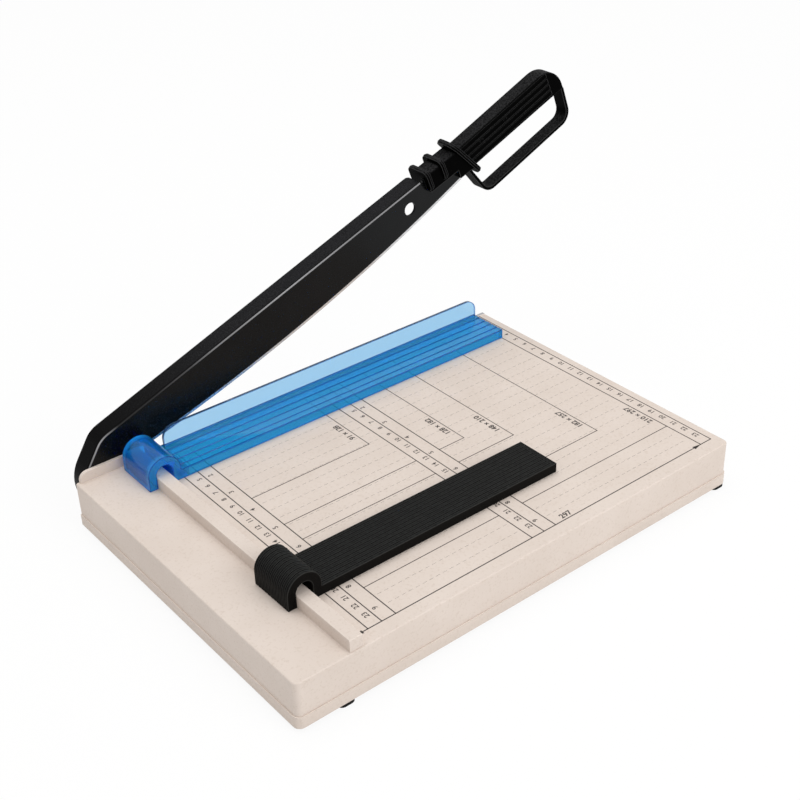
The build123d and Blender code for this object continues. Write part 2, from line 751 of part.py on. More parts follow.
# Handle screws: sunk in the grip's back, through the tang and into the grip's front half
with BuildPart() as handle_screws:
    with BuildSketch(grip_plane.offset(-grip_back)):
        with Locations(*[(place, 0) for place in handle_screw_places]):
            Circle(handle_screw_head / 2)
    extrude(amount=handle_screw_head_height)
    with BuildSketch(grip_plane.offset(-grip_back)):
        with Locations(*[(place, 0) for place in handle_screw_places]):
            Circle(handle_screw_diameter / 2)
    extrude(amount=grip_back + handle_screw_bite)
handle_screws.part.label = "handle_screws"
export_step(handle_screws.part, "parts/handle_screws.step")

# Hooks: an arch over the fence with its heel on the left and the bar on the right
arch_radius = (fence_width + hook_fit + hook_slack) / 2
hook_x = fence_left - hook_fit + arch_radius
hook_z = deck_height + arch_height
hook_foot = deck_height + deck_gap


def hook_profile(outer_radius, bar_height, bar_end):
    """Side view of a hook and its bar: arch, legs and bar, less the room for the fence."""
    with Locations((hook_x, hook_z)):
        Circle(outer_radius)
    with Locations((hook_x, hook_foot)):
        Rectangle(2 * outer_radius, outer_radius, align=(Align.CENTER, Align.MAX), mode=Mode.SUBTRACT)
        Rectangle(2 * outer_radius, hook_z - hook_foot, align=(Align.CENTER, Align.MIN))
        Rectangle(bar_end - hook_x, bar_height - deck_gap, align=(Align.MIN, Align.MIN))
    with Locations((hook_x, hook_z)):
        Circle(arch_radius, mode=Mode.SUBTRACT)
    with Locations((hook_x, hook_foot)):
        Rectangle(2 * arch_radius, hook_z - hook_foot, align=(Align.CENTER, Align.MIN), mode=Mode.SUBTRACT)


# Press guard: a clear channel, open below, with fine grooves along its top
guard_end = fence_face + guard_end_from_fence
guard_front = guard_rear - guard_width
guard_top = deck_height + guard_height
shield_start = fence_face + shield_start_from_fence
shield_rear = guard_rear - shield_inset
shield_front = shield_rear - shield_thickness
shield_foot = guard_top - shield_seat
channel_front = guard_front + guard_wall
channel_rear = shield_front - shield_fit - guard_wall
channel_length = guard_end - guard_wall - shield_start
groove_start = hook_x + hook_radius
groove_side = guard_groove_depth * sqrt(2)
with BuildPart() as paper_guard:
    with BuildSketch(Plane.XZ.offset(-guard_rear)):
        hook_profile(hook_radius, guard_height, guard_end)
    extrude(amount=guard_width)
    with BuildSketch(Plane.XY.offset(hook_foot)):
        with Locations((shield_start, channel_front)):
            Rectangle(channel_length, channel_rear - channel_front, align=(Align.MIN, Align.MIN))
    extrude(amount=guard_height - guard_wall - deck_gap, mode=Mode.SUBTRACT)
    with BuildSketch(Plane.YZ.offset(groove_start)):
        with Locations(((guard_front + shield_front) / 2, guard_top)):
            with GridLocations(guard_groove_pitch, 0, guard_groove_count, 1):
                Rectangle(groove_side, groove_side, rotation=45)
    extrude(amount=guard_end - groove_start, mode=Mode.SUBTRACT)
    with BuildSketch(Plane.YZ.offset(shield_start)):
        with Locations((shield_rear + shield_fit, shield_foot)):
            Rectangle(shield_thickness + 2 * shield_fit, shield_seat, align=(Align.MAX, Align.MIN))
    extrude(amount=guard_end - shield_start, mode=Mode.SUBTRACT)
paper_guard.part.label = "paper_guard"
export_step(paper_guard.part, "parts/paper_guard.step")

# Finger shield: a clear upright plate set in a groove at the guard's rear edge
with BuildPart() as finger_shield:
    with BuildSketch(Plane.XZ.offset(-shield_rear)):
        with Locations((shield_start, shield_foot)):
            plate = Rectangle(
                guard_end - shield_start,
                deck_height + shield_height - shield_foot,
                align=(Align.MIN, Align.MIN),
            )
        fillet(plate.vertices().group_by(Axis.Y)[-1], shield_radius)
    extrude(amount=shield_thickness)
finger_shield.part.label = "finger_shield"
export_step(finger_shield.part, "parts/finger_shield.step")

# Sliding stop: a ribbed bar set square across the deck, its ribs running on over the hook
stop_end = fence_face + stop_end_from_fence
stop_rib_pitch = stop_width / (stop_rib_count - 1 + stop_rib_share)
with BuildPart() as paper_stop:
    with BuildSketch(Plane.XZ.offset(-stop_rear)):
        hook_profile(hook_radius - stop_rib_relief, stop_height - stop_rib_relief, stop_end)
    extrude(amount=stop_width)
    for index in range(stop_rib_count):
        with BuildSketch(Plane.XZ.offset(-stop_rear + index * stop_rib_pitch)):
            hook_profile(hook_radius, stop_height, stop_end)
        extrude(amount=stop_rib_pitch * stop_rib_share)
    with BuildSketch(Plane.XZ.offset(-stop_rear)):
        with Locations((stop_end, hook_foot)):
            Rectangle(stop_end_border, stop_height - deck_gap, align=(Align.MAX, Align.MIN))
    extrude(amount=stop_width)
paper_stop.part.label = "paper_stop"
export_step(paper_stop.part, "parts/paper_stop.step")
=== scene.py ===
import json
from math import cos, radians, sin

import bmesh
import bpy
from mathutils import Matrix, Vector


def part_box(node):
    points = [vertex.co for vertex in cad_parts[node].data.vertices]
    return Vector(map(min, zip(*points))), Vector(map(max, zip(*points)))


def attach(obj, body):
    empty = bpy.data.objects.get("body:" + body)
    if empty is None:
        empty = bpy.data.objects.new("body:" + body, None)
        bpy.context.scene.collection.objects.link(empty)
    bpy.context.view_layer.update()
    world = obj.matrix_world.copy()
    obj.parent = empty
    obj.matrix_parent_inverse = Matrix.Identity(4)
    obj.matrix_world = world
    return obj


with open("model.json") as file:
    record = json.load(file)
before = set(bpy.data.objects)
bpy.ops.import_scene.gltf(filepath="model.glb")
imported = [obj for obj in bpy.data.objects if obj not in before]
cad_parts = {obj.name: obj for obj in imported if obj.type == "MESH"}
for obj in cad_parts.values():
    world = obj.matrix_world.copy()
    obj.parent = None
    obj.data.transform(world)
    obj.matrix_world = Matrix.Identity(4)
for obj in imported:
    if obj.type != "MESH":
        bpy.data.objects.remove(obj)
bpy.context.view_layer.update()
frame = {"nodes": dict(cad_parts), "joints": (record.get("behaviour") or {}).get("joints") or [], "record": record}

millimetre = 0.001

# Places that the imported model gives, in metres
deck_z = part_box("fence_rail")[0].z
fence_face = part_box("fence_rail")[1].x
cut_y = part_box("fixed_blade")[1].y
pivot = Vector(next(joint["pos_m"] for joint in frame["joints"] if joint["name"] == "arm_hinge"))

# Print on the deck, in millimetres: along the cut from the printed zero, and ahead of the cutting edge
zero_behind_fence = 0.9
print_start = 3.5
front_line = 240.4
left_ruler_lines = (11.2, 21.3, 31.5)
middle_ruler_lines = (139.6, 149.8, 159.8)
right_ruler_lines = (297.0, 307.2)
paper_sizes = ((128, 91), (182, 128), (210, 148), (257, 182), (297, 210))
ruler_line_width = 0.75
size_line_width = 0.60
arrow_left_tip = 1.2
arrow_lengths = (6.3, 7.0)
arrow_width = 3.2
line_behind_tip = 1.0
guide_line_width = 0.11
guide_dash = 3.0
guide_pitch = 5.25
guide_margin = 2.5
ink_height = 0.05

# Figures of the print, in millimetres, and how far they stand from the lines beside them
centimetre = 10
centimetre_count = 23
centimetre_figure_gaps = (3.7, 3.3, 3.6)
inch = 25.4
inch_count = 9
inch_figure_gaps = (4.3, 3.6)
digit_size = 5.0
digit_growth = 0.07
label_size = 6.0
label_growth = 0.15
label_from_end = 4.0
label_from_side = 23.0
length_label_place = 172.0
length_label_gap = 3.6
figure_curve_steps = 3

# Arm, in its own plane and in millimetres: the bowed edge's ends and middle, and the band ground along it
arm_rest_angle = radians(20.43)
arm_along = Vector((cos(arm_rest_angle), 0, sin(arm_rest_angle)))
arm_up = Vector((-sin(arm_rest_angle), 0, cos(arm_rest_angle)))
grip_tilt = radians(3.53)
grip_up = (-sin(arm_rest_angle + grip_tilt), 0, cos(arm_rest_angle + grip_tilt))
edge_heel = Vector((15.0, 10.8))
edge_middle = Vector((175.5, 3.6))
edge_toe = Vector((336.0, 16.0))
ground_band = 2.0
ground_band_fade = 0.3

# Painted light along the arm: the span in millimetres from the pivot over which it changes, the shares of it over
# which the flange turns from painted shade near the nose to a lit, dusty grain, and pairs of a share and how
# bright the painted highlight along the fold is there
painted_light_span = (-30.0, 305.0)
flange_dust_and_light_shares = (0.10, 0.45)
fold_highlight_shares = (
    (0.0, 0.04), (0.10, 1.0), (0.15, 0.05), (0.25, 0.06), (0.34, 0.20),
    (0.40, 0.55), (0.60, 1.0), (0.80, 0.70), (1.0, 0.80),
)

# Paint of the arm: how far the flange's flat top, the fold and the web face the front, then colours and gloss.
# The web's colours hold a faint blue painted reflection of the guard, the flange's dust colours are partly painted
# light, and the colour along the fold is a painted highlight
flat_top_facing = (0.05, 0.20)
fold_start_facing = (0.50, 0.66)
fold_end_facing = (0.88, 0.97)
web_facing = (0.80, 0.97)
web_colours = ((0.0016, 0.0021, 0.0026), (0.0028, 0.0033, 0.0039))
flange_black = (0.0006, 0.0006, 0.0007)
flange_dust_and_light_colours = ((0.004, 0.004, 0.0045), (0.020, 0.020, 0.022))
fold_highlight_colour = (0.34, 0.34, 0.35)
bare_steel_colours = ((0.52, 0.52, 0.53), (0.80, 0.80, 0.81))
paint_roughness = (0.20, 0.30)
flange_specular = 0.03
web_specular = 0.16

# Textures, in millimetres: the size of their features and the depth of their relief
cream_clouds = 35.0
cream_flecks = 1.6
cream_grain = 0.7
cream_grain_depth = 0.012
black_dust_and_light = 1.4
black_grain = 0.6
black_grain_depth = 0.015
rubber_clouds = 9.0
rubber_grain = 0.8
rubber_grain_depth = 0.03
metal_grain_depth = 0.006
clear_gloss_patches = 2.5
clear_ripples = 6.0
clear_ripple_depth = 0.01
paint_clouds = 14.0
paint_grain = 0.9
paint_grain_depth = 0.02
grinding_grain = 0.5
ink_patches = 1.5

# Textures: the noise's detail, its middle range, how far grinding stretches it and how much the flecks cover
low_detail = 2.0
middle_detail = 3.0
high_detail = 4.0
noise_span = (0.3, 0.7)
even_stretch = (1, 1, 1)
grinding_stretch = (40, 1, 1)
fleck_span = (0.54, 0.76)
fleck_cover = 0.5

# Edges, grooves and thick walls, where highlights and shade are painted: how far they reach in millimetres, and
# the spans of likeness, openness or facing over which they show
surface_samples = 8
cream_edge_reach = 1.0
cream_edge_span = (0.99, 0.93)
cream_edge_facing = (0.3, 0.7)
black_edge_reach = 0.9
black_edge_span = (0.997, 0.965)
black_lit_top_facing = (0.5, 0.9)
groove_reach = 1.5
groove_span = (0.70, 0.98)
painted_groove_shade = (0.0005, 0.0005, 0.0005)
clear_edge_reach = 1.8
clear_edge_span = (0.97, 0.86)
clear_wall_reach = 5.0
clear_wall_span = (0.65, 1.0)

# Gloss of the plain surfaces, the clear plastic's refraction and the ink
cream_roughness = (0.50, 0.64)
cream_specular = 0.25
rubber_roughness = (0.75, 0.90)
rubber_specular = 0.15
clear_refraction = 1.30
ink_colours = ((0.030, 0.024, 0.021), (0.060, 0.048, 0.042))
ink_roughness = (0.5, 0.65)

# Stage: surroundings and floor, and lamps with their places and sizes in metres and their power in watts
white = (1.0, 1.0, 1.0, 1.0)
white_strength = 1.0
room_colour = (1.0, 0.99, 0.98, 1.0)
room_strength = 0.60
floor_half = 12.0
floor_colour = (0.90, 0.90, 0.90, 1.0)
floor_roughness = 0.9
floor_white_share = 0.9
lamp_target = Vector((0, 0, 0.05))
lamps = (
    ("key_lamp", Vector((0.5, -2.0, 1.45)), 1.6, 24.0),
    ("top_lamp", Vector((-0.2, 0.5, 2.6)), 1.8, 26.0),
)

# Camera, solved from the printed paper sizes
camera_place = Vector((-0.50925, -0.60055, 0.5510))
camera_azimuth = radians(-38.402)
camera_elevation = radians(31.875)
camera_roll = radians(-1.658)
camera_near = 0.05
focal_pixels = 1358.938
picture_pixels = 800.0
middle_pixel = (409.577, 403.945)
sensor_width = 36.0


# Shader nodes
def feed(owner, value, socket):
    """Gives a socket another node's output, or a plain value."""
    if isinstance(value, bpy.types.NodeSocket):
        owner.node_tree.links.new(value, socket)
    else:
        socket.default_value = value


def fill(owner, node, **inputs):
    """Feeds the named inputs of a node. Underscores in a name stand for spaces."""
    for name, value in inputs.items():
        feed(owner, value, node.inputs[name.replace("_", " ")])


def add(owner, kind, **inputs):
    """A new node of a material or world, with the named inputs fed."""
    node = owner.node_tree.nodes.new(kind)
    fill(owner, node, **inputs)
    return node


def new_material(name):
    """A node material, with its Principled shader."""
    material = bpy.data.materials.new(name)
    material.use_nodes = True
    return material, material.node_tree.nodes["Principled BSDF"]


def maths(owner, operation, first, second):
    """Two values joined by an operation."""
    node = add(owner, "ShaderNodeMath")
    node.operation = operation
    feed(owner, first, node.inputs[0])
    feed(owner, second, node.inputs[1])
    return node.outputs[0]


def dot_product(material, vector, direction):
    """A node's vector measured along a direction, which is plain or another node's vector."""
    node = add(material, "ShaderNodeVectorMath")
    node.operation = "DOT_PRODUCT"
    feed(material, vector, node.inputs[0])
    feed(material, direction, node.inputs[1])
    return node.outputs["Value"]


def ramp_between(material, value, start, end, low=0.0, high=1.0):
    """A value brought from the span between start and end to the span between low and high."""
    span = add(material, "ShaderNodeMapRange", Value=value)
    fill(material, span, From_Min=start, From_Max=end, To_Min=low, To_Max=high)
    return span.outputs["Result"]


def mix_colours(material, amount, first, second):
    """A mix of two colours, each given as a colour or as a node's output."""
    mix = add(material, "ShaderNodeMix")
    mix.data_type = "RGBA"
    feed(material, amount, mix.inputs[0])
    colour_inputs = [socket for socket in mix.inputs if socket.type == "RGBA"]
    for socket, colour in zip(colour_inputs, (first, second)):
        feed(material, colour if isinstance(colour, bpy.types.NodeSocket) else (*colour, 1.0), socket)
    return next(socket for socket in mix.outputs if socket.type == "RGBA")


def mix_shaders(owner, amount, first, second):
    """A mix of two shaders."""
    mix = add(owner, "ShaderNodeMixShader")
    for socket, value in zip(mix.inputs, (amount, first, second)):
        feed(owner, value, socket)
    return mix.outputs[0]


def piece_noise(material, feature, detail, stretch=even_stretch):
    """Noise that is fixed to the piece, with features of about that many millimetres."""
    place = add(material, "ShaderNodeTexCoord").outputs["Object"]
    frequency = [1.0 / (feature * millimetre * share) for share in stretch]
    scaled = add(material, "ShaderNodeMapping", Vector=place, Scale=frequency).outputs["Vector"]
    noise = add(material, "ShaderNodeTexNoise", Vector=scaled, Scale=1.0, Detail=detail)
    return noise.outputs["Fac"]


def blend_colours(material, noise, dark, light):
    """A colour ramp from dark to light over the noise's middle range."""
    ramp = add(material, "ShaderNodeValToRGB", Fac=noise)
    for stop, position, colour in zip(ramp.color_ramp.elements, noise_span, (dark, light)):
        stop.position = position
        stop.color = (*colour, 1.0)
    return ramp.outputs["Color"]


def spread(material, noise, low, high):
    """The noise's middle range brought to the range from low to high."""
    return ramp_between(material, noise, *noise_span, low, high)


def bump(material, shader, height, depth):
    """Relief from noise, so many millimetres deep."""
    relief = add(material, "ShaderNodeBump", Height=height, Distance=depth * millimetre, Strength=1.0)
    fill(material, shader, Normal=relief.outputs["Normal"])


def facing(material, direction):
    """How far the piece's own surface faces a direction, from minus one to one."""
    return dot_product(material, add(material, "ShaderNodeTexCoord").outputs["Normal"], direction)


def along_edges(material, reach, start, end):
    """One along the edges of the piece, and none on its faces."""
    bevel = add(material, "ShaderNodeBevel", Radius=reach * millimetre)
    bevel.samples = surface_samples
    plain = add(material, "ShaderNodeNewGeometry").outputs["True Normal"]
    return ramp_between(material, dot_product(material, bevel.outputs["Normal"], plain), start, end)


def open_to_air(material, reach, start, end, inside=False):
    """One on faces that stand free, and none in grooves. Measured inside, one where the wall is thick."""
    hollow = add(material, "ShaderNodeAmbientOcclusion", Distance=reach * millimetre)
    hollow.samples = surface_samples
    hollow.only_local = True
    hollow.inside = inside
    return ramp_between(material, hollow.outputs["AO"], start, end)


# Materials
def cream_plastic(name, dark, light, fleck, edge):
    """Cream moulded plastic: soft clouds, faint flecks, a fine etched grain and a painted highlight along its top
    edges.
    """
    material, shader = new_material(name)
    clouds = piece_noise(material, cream_clouds, low_detail)
    flecks = piece_noise(material, cream_flecks, low_detail)
    fine = piece_noise(material, cream_grain, low_detail)
    ground = blend_colours(material, clouds, dark, light)
    cover = ramp_between(material, flecks, *fleck_span, 0.0, fleck_cover)
    faces = mix_colours(material, cover, ground, fleck)
    # Painted highlight: edges of faces turned up are mixed towards the paler edge colour.
    upward = ramp_between(material, facing(material, (0, 0, 1)), *cream_edge_facing)
    edges = along_edges(material, cream_edge_reach, *cream_edge_span)
    top_edges = maths(material, "MULTIPLY", edges, upward)
    fill(
        material,
        shader,
        Base_Color=mix_colours(material, top_edges, faces, edge),
        Roughness=spread(material, fine, *cream_roughness),
        Specular_IOR_Level=cream_specular,
    )
    bump(material, shader, fine, cream_grain_depth)
    return material


def black_moulding(name, up, deep, dusty_and_lit, edge, roughness, specular):
    """Black plastic: deep black on its sides, painted shade in grooves, a lighter top as painted light with a
    dusty grain, and a painted highlight along its edges.
    """
    material, shader = new_material(name)
    fine = piece_noise(material, black_grain, low_detail)
    dust_and_light = piece_noise(material, black_dust_and_light, middle_detail)
    top = blend_colours(material, dust_and_light, deep, dusty_and_lit)
    # Painted light: faces turned up take the lighter top colour, mottled by the dusty grain.
    upward = ramp_between(material, facing(material, up), *black_lit_top_facing)
    faces = mix_colours(material, upward, deep, top)
    # Painted highlight along the edges.
    painted_highlight = mix_colours(material, along_edges(material, black_edge_reach, *black_edge_span), faces, edge)
    # Painted shade in grooves: the colour there is mixed towards near black.
    open_faces = open_to_air(material, groove_reach, *groove_span)
    fill(
        material,
        shader,
        Base_Color=mix_colours(material, open_faces, painted_groove_shade, painted_highlight),
        Roughness=spread(material, fine, *roughness),
        Specular_IOR_Level=specular,
    )
    bump(material, shader, fine, black_grain_depth)
    return material


def soft_rubber(name, dark, light):
    """Moulded rubber: faint clouds of colour, uneven gloss and a coarse grain."""
    material, shader = new_material(name)
    clouds = piece_noise(material, rubber_clouds, high_detail)
    fine = piece_noise(material, rubber_grain, low_detail)
    fill(
        material,
        shader,
        Base_Color=blend_colours(material, clouds, dark, light),
        Roughness=spread(material, fine, *rubber_roughness),
        Specular_IOR_Level=rubber_specular,
    )
    bump(material, shader, fine, rubber_grain_depth)
    return material


def plain_metal(name, dark, light, roughness, grain, stretch=even_stretch):
    """Bare metal: streaks left by its finishing, in colour, gloss and relief."""
    material, shader = new_material(name)
    streaks = piece_noise(material, grain, middle_detail, stretch)
    fill(
        material,
        shader,
        Base_Color=blend_colours(material, streaks, dark, light),
        Roughness=spread(material, streaks, *roughness),
        Metallic=1.0,
    )
    bump(material, shader, streaks, metal_grain_depth)
    return material


def clear_plastic(name, body, painted_thick_shade, edge, milk, passed, density, roughness):
    """Clear tinted plastic with a little milk in it, with painted shade that deepens its colour where it is thick
    and painted dark lines at its edges.
    """
    material, shader = new_material(name)
    fine = piece_noise(material, clear_gloss_patches, low_detail)
    behind = add(material, "ShaderNodeNewGeometry").outputs["Backfacing"]
    entering = ramp_between(material, behind, 0.0, 1.0, 1.0, 0.0)
    # Painted shade: where the wall is thick, seen on entering faces, the colour deepens.
    deep = open_to_air(material, clear_wall_reach, *clear_wall_span, inside=True)
    walls = mix_colours(material, maths(material, "MULTIPLY", deep, entering), body, painted_thick_shade)
    # Painted shade: dark lines along the edges.
    rim = along_edges(material, clear_edge_reach, *clear_edge_span)
    fill(
        material,
        shader,
        Base_Color=mix_colours(material, rim, walls, edge),
        Roughness=spread(material, fine, *roughness),
        Transmission_Weight=1.0 - milk,
        IOR=clear_refraction,
    )
    absorption = add(material, "ShaderNodeVolumeAbsorption", Color=(*passed, 1.0), Density=density)
    fill(material, material.node_tree.nodes["Material Output"], Volume=absorption.outputs["Volume"])
    bump(material, shader, piece_noise(material, clear_ripples, middle_detail), clear_ripple_depth)
    return material


def circle_through(a, b, c):
    """Centre and radius of the circle through three points."""
    d = 2 * (a.x * (b.y - c.y) + b.x * (c.y - a.y) + c.x * (a.y - b.y))
    aa, bb, cc = a.length_squared, b.length_squared, c.length_squared
    centre = Vector((
        (aa * (b.y - c.y) + bb * (c.y - a.y) + cc * (a.y - b.y)) / d,
        (aa * (c.x - b.x) + bb * (a.x - c.x) + cc * (b.x - a.x)) / d,
    ))
    return centre, (a - centre).length


def ground_edge(material, place, reach):
    """One on the band that is ground along the bowed edge, and none on the paint."""
    centre, radius = circle_through(edge_heel, edge_middle, edge_toe)
    bow_centre = pivot + (arm_along * centre.x + arm_up * centre.y) * millimetre
    to_centre = (-bow_centre.x, 0, -bow_centre.z)
    side_view = add(material, "ShaderNodeMapping", Vector=place, Location=to_centre, Scale=(1, 0, 1))
    distance = add(material, "ShaderNodeVectorMath")
    distance.operation = "LENGTH"
    feed(material, side_view.outputs["Vector"], distance.inputs[0])
    band_start = (radius - ground_band) * millimetre
    band_end = band_start + ground_band_fade * millimetre
    band = ramp_between(material, distance.outputs["Value"], band_start, band_end)
    heel = pivot.dot(arm_along) + edge_heel.x * millimetre
    past_heel = ramp_between(material, reach, heel, heel + ground_band * millimetre)
    return maths(material, "MULTIPLY", band, past_heel)


def fold_wear(material, light_share):
    """How bright the painted highlight along the fold is at each share of the span along the arm."""
    ramp = add(material, "ShaderNodeValToRGB", Fac=light_share)
    stops = ramp.color_ramp.elements
    for share, level in fold_highlight_shares[1:-1]:
        stops.new(share)
    for stop, (share, level) in zip(stops, fold_highlight_shares):
        stop.color = (level, level, level, 1.0)
    return ramp.outputs["Color"]


def painted_steel(name):
    """Satin black paint over steel, ground bright along the bowed edge, with a painted highlight along the fold,
    painted shade on the flange near the nose and a painted dark line above the fold.
    """
    material, shader = new_material(name)
    place = add(material, "ShaderNodeTexCoord").outputs["Object"]
    reach = dot_product(material, place, arm_along)
    painted_light_ends = [pivot.dot(arm_along) + end * millimetre for end in painted_light_span]
    light_share = ramp_between(material, reach, *painted_light_ends)
    front = facing(material, (0, -1, 0))
    # The flange's flat top, short of the fold's upper curve, which stays black as a painted dark line above the
    # fold's painted highlight.
    flat_top = ramp_between(material, front, *flat_top_facing, 1.0, 0.0)
    fold_start = ramp_between(material, front, *fold_start_facing)
    fold_end = ramp_between(material, front, *fold_end_facing, 1.0, 0.0)
    to_front = ramp_between(material, front, *web_facing)
    fine = piece_noise(material, paint_grain, low_detail)
    # The web's colours carry a faint blue painted reflection of the blue guard.
    web = blend_colours(material, piece_noise(material, paint_clouds, high_detail), *web_colours)
    dust_and_light = blend_colours(material, fine, *flange_dust_and_light_colours)
    # Painted shade: the flange stays black near the nose and takes the lit, grainy dust colour further along the
    # arm.
    dusty_and_lit = maths(material, "MULTIPLY", ramp_between(material, light_share, *flange_dust_and_light_shares), flat_top)
    flange = mix_colours(material, dusty_and_lit, flange_black, dust_and_light)
    paint = mix_colours(material, to_front, flange, web)
    # Painted highlight along the fold, brighter or fainter along the arm.
    fold = maths(material, "MULTIPLY", fold_start, fold_end)
    painted_highlight = maths(material, "MULTIPLY", fold, fold_wear(material, light_share))
    paint_with_highlight = mix_colours(material, painted_highlight, paint, fold_highlight_colour)
    grinding = piece_noise(material, grinding_grain, low_detail, grinding_stretch)
    bare = blend_colours(material, grinding, *bare_steel_colours)
    band = ground_edge(material, place, reach)
    fill(
        material,
        shader,
        Base_Color=mix_colours(material, band, paint_with_highlight, bare),
        Metallic=band,
        Roughness=spread(material, fine, *paint_roughness),
        Specular_IOR_Level=ramp_between(material, to_front, 0.0, 1.0, flange_specular, web_specular),
    )
    bump(material, shader, fine, paint_grain_depth)
    return material


def ink_material(name):
    """Screen print: dark ink, a little uneven in its cover."""
    material, shader = new_material(name)
    cover = piece_noise(material, ink_patches, middle_detail)
    fill(
        material,
        shader,
        Base_Color=blend_colours(material, cover, *ink_colours),
        Roughness=spread(material, cover, *ink_roughness),
    )
    return material


# The edge colours below are painted highlights on the cream and black pieces and painted dark lines on the clear
# ones; the dusty top colours of the black pieces are partly painted light, and the colours for thick clear walls
# are painted shade.
materials = {
    "cream_plastic": cream_plastic(
        "cream_plastic",
        dark=(0.680, 0.592, 0.528),
        light=(0.715, 0.628, 0.565),
        fleck=(0.57, 0.475, 0.40),
        edge=(0.88, 0.78, 0.705),
    ),
    "cream_rim": cream_plastic(
        "cream_rim",
        dark=(0.672, 0.584, 0.520),
        light=(0.706, 0.620, 0.556),
        fleck=(0.56, 0.465, 0.39),
        edge=(0.88, 0.78, 0.705),
    ),
    "black_handle": black_moulding(
        "black_handle",
        up=grip_up,
        deep=(0.0006, 0.0006, 0.0006),
        dusty_and_lit=(0.028, 0.028, 0.029),
        edge=(0.040, 0.040, 0.041),
        roughness=(0.40, 0.55),
        specular=0.012,
    ),
    "black_stop": black_moulding(
        "black_stop",
        up=(0, 0, 1),
        deep=(0.0024, 0.0022, 0.0020),
        dusty_and_lit=(0.014, 0.015, 0.014),
        edge=(0.030, 0.030, 0.029),
        roughness=(0.50, 0.64),
        specular=0.06,
    ),
    "black_rubber": soft_rubber("black_rubber", dark=(0.006, 0.006, 0.006), light=(0.014, 0.013, 0.012)),
    "black_steel": painted_steel("black_steel"),
    "zinc_steel": plain_metal(
        "zinc_steel",
        dark=(0.50, 0.51, 0.53),
        light=(0.66, 0.67, 0.69),
        roughness=(0.25, 0.40),
        grain=0.8,
    ),
    "spring_steel": plain_metal(
        "spring_steel",
        dark=(0.20, 0.20, 0.22),
        light=(0.32, 0.33, 0.35),
        roughness=(0.28, 0.42),
        grain=0.8,
    ),
    "ground_steel": plain_metal(
        "ground_steel",
        dark=(0.34, 0.34, 0.35),
        light=(0.50, 0.50, 0.51),
        roughness=(0.22, 0.36),
        grain=0.4,
        stretch=grinding_stretch,
    ),
    "bronze": plain_metal(
        "bronze",
        dark=(0.42, 0.27, 0.12),
        light=(0.58, 0.40, 0.20),
        roughness=(0.28, 0.42),
        grain=0.9,
    ),
    "blue_guard": clear_plastic(
        "blue_guard",
        body=(0.05, 0.66, 1.0),
        painted_thick_shade=(0.01, 0.28, 0.60),
        edge=(0.01, 0.09, 0.48),
        milk=0.27,
        passed=(0.0, 0.76, 0.98),
        density=340.0,
        roughness=(0.10, 0.16),
    ),
    "blue_shield": clear_plastic(
        "blue_shield",
        body=(0.53, 0.72, 0.90),
        painted_thick_shade=(0.46, 0.66, 0.88),
        edge=(0.04, 0.12, 0.42),
        milk=0.06,
        passed=(0.0, 0.72, 0.98),
        density=130.0,
        roughness=(0.02, 0.05),
    ),
}
for row in frame["record"]["subparts"]:
    mesh = frame["nodes"][row["node"]].data
    mesh.materials.clear()
    mesh.materials.append(materials[row["material_slot"]])


# Print on the deck
def deck_point(along, ahead):
    """A place on the deck, from millimetres along the cut and ahead of the cutting edge."""
    return Vector((fence_face + (along - zero_behind_fence) * millimetre, cut_y - ahead * millimetre, deck_z))


def ink_outline(ink, corners):
    """A closed flat figure of ink on the deck, standing its own thickness proud."""
    low = [ink.verts.new(corner) for corner in corners]
    high = [ink.verts.new(corner + Vector((0, 0, ink_height * millimetre))) for corner in corners]
    ink.faces.new(list(reversed(low)))
    ink.faces.new(high)
    for index in range(len(corners)):
        following = (index + 1) % len(corners)
        ink.faces.new((low[index], low[following], high[following], high[index]))


def ink_line(ink, start, end, width):
    """A straight line of ink between two places on the deck, with square ends."""
    run = (end - start).normalized() * width / 2 * millimetre
    side = Vector((-run.y, run.x, 0))
    ink_outline(ink, (start - run - side, end + run - side, end + run + side, start - run + side))


def ink_text(ink, text, middle, size, growth, turned):
    """Figures centred on a place, read along the cut, or turned to be read towards the blade."""
    curve = bpy.data.curves.new("figures", "FONT")
    curve.body = text
    curve.size = size * millimetre
    curve.align_x = "CENTER"
    curve.align_y = "CENTER"
    curve.offset = growth * millimetre
    curve.extrude = ink_height / 2 * millimetre
    curve.resolution_u = figure_curve_steps
    figure = bpy.data.objects.new("figures", curve)
    bpy.context.scene.collection.objects.link(figure)
    place = Matrix.Translation(middle + Vector((0, 0, ink_height / 2 * millimetre)))
    figure.matrix_world = place @ Matrix.Rotation(radians(90.0 if turned else 0.0), 4, "Z")
    bpy.context.view_layer.update()
    mesh = bpy.data.meshes.new_from_object(figure.evaluated_get(bpy.context.evaluated_depsgraph_get()))
    mesh.transform(figure.matrix_world)
    ink.from_mesh(mesh)
    bpy.data.objects.remove(figure)
    bpy.data.meshes.remove(mesh)


def ink_piece(name, ink):
    """Turns the ink into a piece that rides on the base."""
    mesh = bpy.data.meshes.new(name)
    bmesh.ops.recalc_face_normals(ink, faces=ink.faces)
    ink.to_mesh(mesh)
    ink.free()
    piece = bpy.data.objects.new(name, mesh)
    bpy.context.scene.collection.objects.link(piece)
    mesh.materials.append(print_ink)
    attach(piece, "base")


print_ink = ink_material("print_ink")

